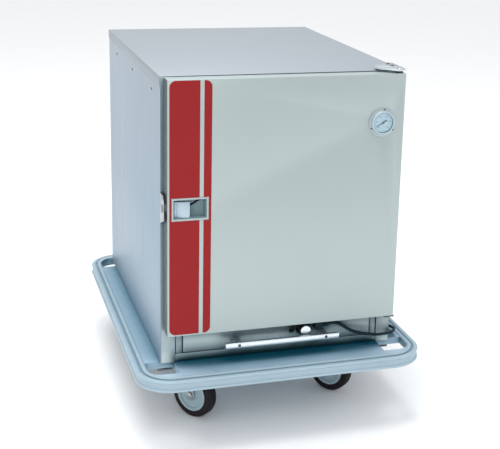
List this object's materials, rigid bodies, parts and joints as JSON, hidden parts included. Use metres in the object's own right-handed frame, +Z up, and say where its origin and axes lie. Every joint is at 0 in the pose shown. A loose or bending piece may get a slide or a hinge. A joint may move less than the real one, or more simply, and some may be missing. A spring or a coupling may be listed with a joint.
{
  "type": "proofing cabinet",
  "caption": "Insulated end-loading proofing cabinet with an overlay door, dial thermometer, slide-out heat module and bumper deck on casters.",
  "frame": {"origin": "on the floor, under the centre of the bumper's footprint", "axes": "+X to the door's hinge side seen from the front, +Y from the door to the back, +Z up; the door faces -Y"},
  "size_m": [0.756, 0.963, 0.9425],
  "materials": {
    "side_sheet": "pale blue-grey brushed sheet",
    "roof_sheet": "brushed stainless sheet",
    "door_sheet": "brushed stainless sheet",
    "liner_sheet": "plain stainless sheet",
    "frame_sheet": "brushed stainless sheet",
    "pan_sheet": "dark grey sheet",
    "insulation": "glass-fibre slab",
    "deck_sheet": "blue-grey coated deck",
    "bumper_vinyl": "non-marking blue-grey vinyl",
    "frame_steel": "grey painted steel",
    "zinc": "bright zinc plating",
    "screw_steel": "plain steel fasteners",
    "polished": "polished stainless",
    "pocket_grey": "dark grey pressed pocket",
    "decal_red": "red vinyl decal",
    "gasket_rubber": "dark grey silicone",
    "bushing_plastic": "dark acetal",
    "dial_face": "pale blue printed dial",
    "needle": "dark blued needle",
    "lens": "clear flat glass",
    "aluminium": "plain aluminium",
    "element": "heat-darkened sheath",
    "knob_black": "black phenolic",
    "switch_black": "black rocker",
    "cord_rubber": "black cord jacket",
    "hub_grey": "light grey wheel centre",
    "tyre_black": "near-black tread"
  },
  "bodies": {
    "cabinet": {"side_panels": "side_sheet", "back_panel": "side_sheet", "top_panel": "roof_sheet", "inner_liner": "liner_sheet", "wall_insulation": "insulation", "front_frame": "frame_sheet", "bottom_pan": "pan_sheet", "module_runners": "liner_sheet", "tray_slides": "liner_sheet", "side_rivets": "screw_steel", "deck_pan": "deck_sheet", "base_frame": "frame_steel", "bumper": "bumper_vinyl", "caster_plates": "zinc", "rear_caster_forks": "zinc", "caster_bolts": "screw_steel", "strike_bracket": "zinc", "hinge_brackets": "polished", "cabinet_screws": "screw_steel"},
    "door": {"door_skin": "door_sheet", "door_liner": "liner_sheet", "door_insulation": "insulation", "door_gasket": "gasket_rubber", "door_decal": "decal_red", "door_bushings": "bushing_plastic", "latch_housing": "pocket_grey", "thermometer_case": "polished", "thermometer_dial": "dial_face", "thermometer_lens": "lens", "thermometer_screws": "screw_steel"},
    "paddle": {"latch_paddle": "polished"},
    "bolt": {"latch_bolt": "polished"},
    "pointer": {"thermometer_pointer": "needle"},
    "heat_module": {"module_panel": "frame_sheet", "module_chassis": "liner_sheet", "water_pan": "liner_sheet", "heating_element": "element", "fan_motor": "frame_steel", "handle_bar": "polished", "handle_standoffs": "polished", "handle_screws": "screw_steel", "thermostat_body": "bushing_plastic", "cord_gland": "cord_rubber", "cord": "cord_rubber", "cord_hank": "cord_rubber", "plug": "cord_rubber"},
    "fan": {"fan_wheel": "aluminium"},
    "knob": {"thermostat_knob": "knob_black"},
    "switch": {"power_switch": "switch_black"},
    "swivel_left": {"fork_left": "zinc"},
    "swivel_right": {"fork_right": "zinc"},
    "wheel_front_left": {"hub_front_left": "hub_grey", "tyre_front_left": "tyre_black"},
    "wheel_front_right": {"hub_front_right": "hub_grey", "tyre_front_right": "tyre_black"},
    "wheel_rear_left": {"hub_rear_left": "hub_grey", "tyre_rear_left": "tyre_black"},
    "wheel_rear_right": {"hub_rear_right": "hub_grey", "tyre_rear_right": "tyre_black"}
  },
  "joints": [
    {"name": "door_hinge", "type": "hinge", "parent": "cabinet", "child": "door", "pos_m": [0.289, -0.3965, 0.608], "axis": [0, 0, 1], "range_deg": [0, 180]},
    {"name": "paddle_pivot", "type": "hinge", "parent": "door", "child": "paddle", "pos_m": [-0.28, -0.4015, 0.6135], "axis": [0, 0, 1], "range_deg": [0, 20]},
    {"name": "bolt_slide", "type": "slide", "parent": "door", "child": "bolt", "axis": [-1, 0, 0], "range_m": [0, 0.009]},
    {"name": "pointer_pivot", "type": "hinge", "parent": "door", "child": "pointer", "pos_m": [0.244, -0.415, 0.808], "axis": [0, 1, 0], "range_deg": [-15, 255]},
    {"name": "module_slide", "type": "slide", "parent": "cabinet", "child": "heat_module", "axis": [0, -1, 0], "range_m": [0, 0.3]},
    {"name": "fan_spin", "type": "hinge", "parent": "heat_module", "child": "fan", "pos_m": [0.11, -0.1785, 0.236], "axis": [0, 0, 1], "continuous": true},
    {"name": "knob_turn", "type": "hinge", "parent": "heat_module", "child": "knob", "pos_m": [0.065, -0.3835, 0.26], "axis": [0, 1, 0], "range_deg": [0, 270]},
    {"name": "switch_rock", "type": "hinge", "parent": "heat_module", "child": "switch", "pos_m": [0.036, -0.366, 0.257], "axis": [1, 0, 0], "range_deg": [0, 14]},
    {"name": "swivel_left_turn", "type": "hinge", "parent": "cabinet", "child": "swivel_left", "pos_m": [-0.225, -0.2535, 0.15], "axis": [0, 0, 1], "continuous": true},
    {"name": "swivel_right_turn", "type": "hinge", "parent": "cabinet", "child": "swivel_right", "pos_m": [0.225, -0.2535, 0.15], "axis": [0, 0, 1], "continuous": true},
    {"name": "wheel_front_left_spin", "type": "hinge", "parent": "swivel_left", "child": "wheel_front_left", "pos_m": [-0.20161, -0.28344, 0.0635], "axis": [0.788, 0.6157, 0], "continuous": true},
    {"name": "wheel_front_right_spin", "type": "hinge", "parent": "swivel_right", "child": "wheel_front_right", "pos_m": [0.20161, -0.22356, 0.0635], "axis": [0.788, 0.6157, 0], "continuous": true},
    {"name": "wheel_rear_left_spin", "type": "hinge", "parent": "cabinet", "child": "wheel_rear_left", "pos_m": [-0.225, 0.3065, 0.0635], "axis": [1, 0, 0], "continuous": true},
    {"name": "wheel_rear_right_spin", "type": "hinge", "parent": "cabinet", "child": "wheel_rear_right", "pos_m": [0.225, 0.3065, 0.0635], "axis": [1, 0, 0], "continuous": true}
  ],
  "couplings": [
    {"joint": "bolt_slide", "follows": "paddle_pivot", "m_per_rad": 0.02578}
  ]
}
